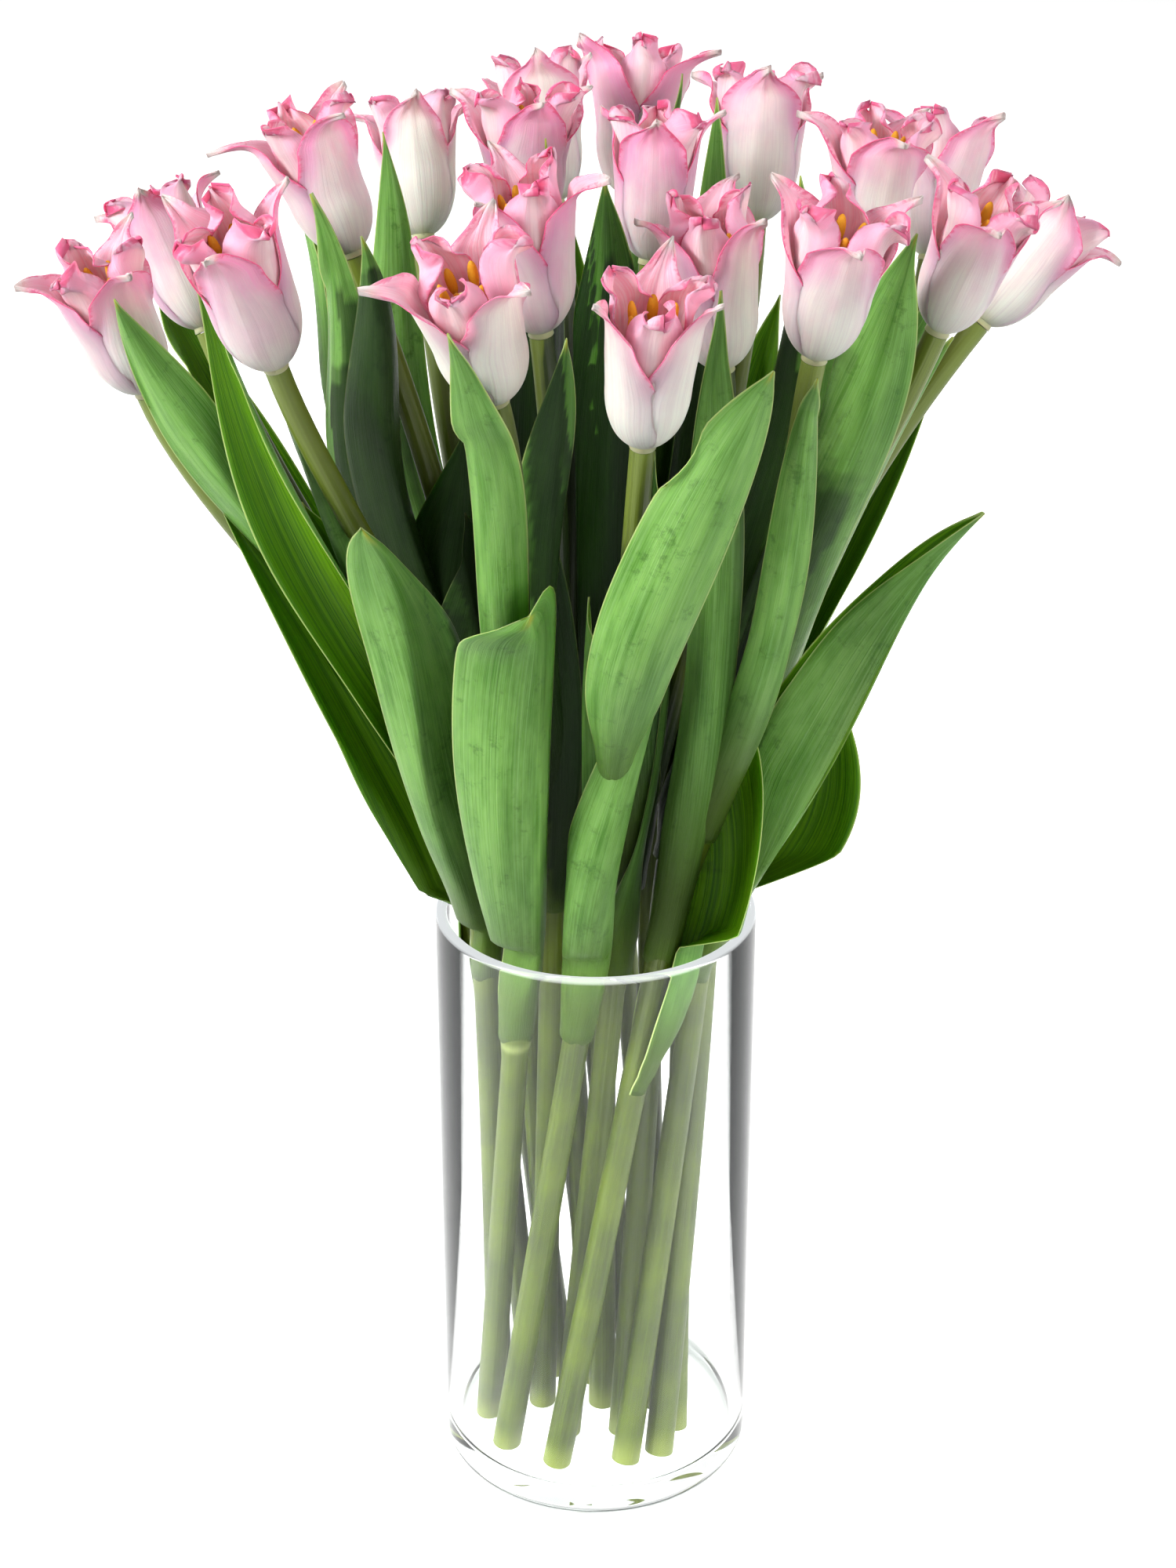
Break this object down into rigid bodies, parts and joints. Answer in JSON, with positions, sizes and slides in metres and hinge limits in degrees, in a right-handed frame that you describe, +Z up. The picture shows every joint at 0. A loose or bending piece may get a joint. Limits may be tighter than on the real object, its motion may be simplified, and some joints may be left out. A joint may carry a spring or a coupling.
{
  "type": "bouquet of crown tulips in a glass cylinder vase",
  "caption": "Bouquet of pink and white crown-shaped tulips with long grey-green leaves, standing in a tall clear glass cylinder vase.",
  "frame": {"origin": "middle of the vase's underside, on the surface that it stands on", "axes": "+Z up along the vase, -Y the bouquet's front, +X to the right seen from the front"},
  "size_m": [0.3482, 0.2799, 0.4966],
  "materials": {
    "glass": "clear polished glass",
    "leaf": "waxy grey-green leaf with fine long veins",
    "tepal": "satin petal, white at the foot and rose at the edges",
    "stamen": "powdery yellow"
  },
  "bodies": {
    "root": {"vase": "glass", "leafy_stem_01": "leaf", "bloom_01": "tepal", "heart_01": "stamen", "leafy_stem_02": "leaf", "bloom_02": "tepal", "heart_02": "stamen", "leafy_stem_03": "leaf", "bloom_03": "tepal", "heart_03": "stamen", "leafy_stem_04": "leaf", "bloom_04": "tepal", "heart_04": "stamen", "leafy_stem_05": "leaf", "bloom_05": "tepal", "heart_05": "stamen", "leafy_stem_06": "leaf", "bloom_06": "tepal", "heart_06": "stamen", "leafy_stem_07": "leaf", "bloom_07": "tepal", "heart_07": "stamen", "leafy_stem_08": "leaf", "bloom_08": "tepal", "heart_08": "stamen", "leafy_stem_09": "leaf", "bloom_09": "tepal", "heart_09": "stamen", "leafy_stem_10": "leaf", "bloom_10": "tepal", "heart_10": "stamen", "leafy_stem_11": "leaf", "bloom_11": "tepal", "heart_11": "stamen", "leafy_stem_12": "leaf", "bloom_12": "tepal", "heart_12": "stamen", "leafy_stem_13": "leaf", "bloom_13": "tepal", "heart_13": "stamen", "leafy_stem_14": "leaf", "bloom_14": "tepal", "heart_14": "stamen", "leafy_stem_15": "leaf", "bloom_15": "tepal", "heart_15": "stamen", "leafy_stem_16": "leaf", "bloom_16": "tepal", "heart_16": "stamen", "leafy_stem_17": "leaf", "bloom_17": "tepal", "heart_17": "stamen", "leafy_stem_18": "leaf", "bloom_18": "tepal", "heart_18": "stamen", "leafy_stem_19": "leaf", "bloom_19": "tepal", "heart_19": "stamen"}
  },
  "joints": []
}
